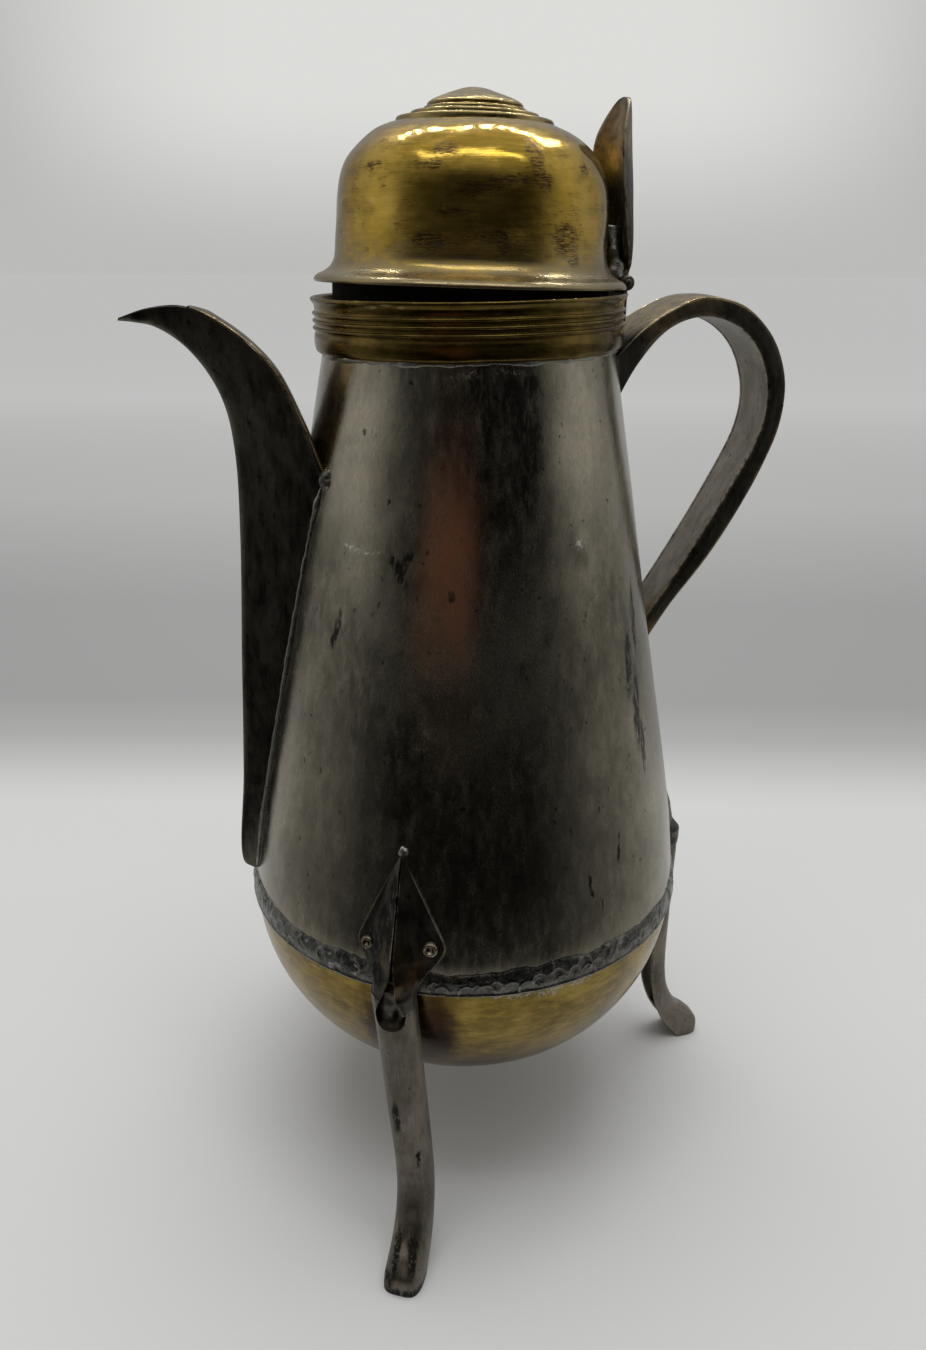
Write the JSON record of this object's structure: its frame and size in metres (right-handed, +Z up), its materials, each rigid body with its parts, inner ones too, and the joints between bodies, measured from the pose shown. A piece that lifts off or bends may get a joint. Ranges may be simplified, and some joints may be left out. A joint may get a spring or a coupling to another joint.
{
  "type": "tripod coffee pot",
  "caption": "Tall conical metal coffee pot with a brass bowl and domed hinged lid, beak spout, strap handle and riveted kicked-out legs.",
  "frame": {"origin": "where the pot's centre line meets the table, level with the soles of the legs", "axes": "+Z up, spout along -X, handle and one leg along +X, lid hinge along Y"},
  "size_m": [0.1725, 0.1504, 0.2897],
  "materials": {
    "tinned_sheet": "worn tinned sheet, fine vertical brush lines, darkened in broad soft bands",
    "dark_tin": "dark tarnished tinned sheet with brassy wear on its edges",
    "solder": "dull lumpy solder",
    "brass_bright": "aged olive-gold brass with dark tarnish flecks",
    "brass_dark": "dark brown tarnished brass",
    "steel": "dark worn metal"
  },
  "bodies": {
    "pot": {"pot_body": "tinned_sheet", "pot_bowl": "brass_bright", "seam_band": "solder", "collar": "brass_dark", "spout_shell": "dark_tin", "spout_strip": "brass_dark", "spout_solder": "solder", "handle_strap": "dark_tin", "handle_liner": "tinned_sheet", "handle_solder_upper": "solder", "handle_solder_lower": "solder", "hinge_plate": "steel", "hinge_pin": "steel", "leg_front": "tinned_sheet", "leg_front_spade": "dark_tin", "leg_front_rivet_a": "steel", "leg_front_rivet_b": "steel", "leg_back": "tinned_sheet", "leg_back_spade": "dark_tin", "leg_back_rivet_a": "steel", "leg_back_rivet_b": "steel", "leg_far": "tinned_sheet", "leg_far_spade": "dark_tin", "leg_far_rivet_a": "steel", "leg_far_rivet_b": "steel"},
    "lid": {"lid_dome": "brass_bright", "lid_cap": "brass_bright", "lid_button": "brass_bright", "lid_bezel": "brass_dark", "lid_thumb_piece": "dark_tin", "lid_solder": "solder"}
  },
  "joints": [
    {"name": "lid_hinge", "type": "hinge", "parent": "pot", "child": "lid", "pos_m": [0.03929, 0, 0.24723], "axis": [0, 1, 0], "range_deg": [-2.2, 88]}
  ]
}
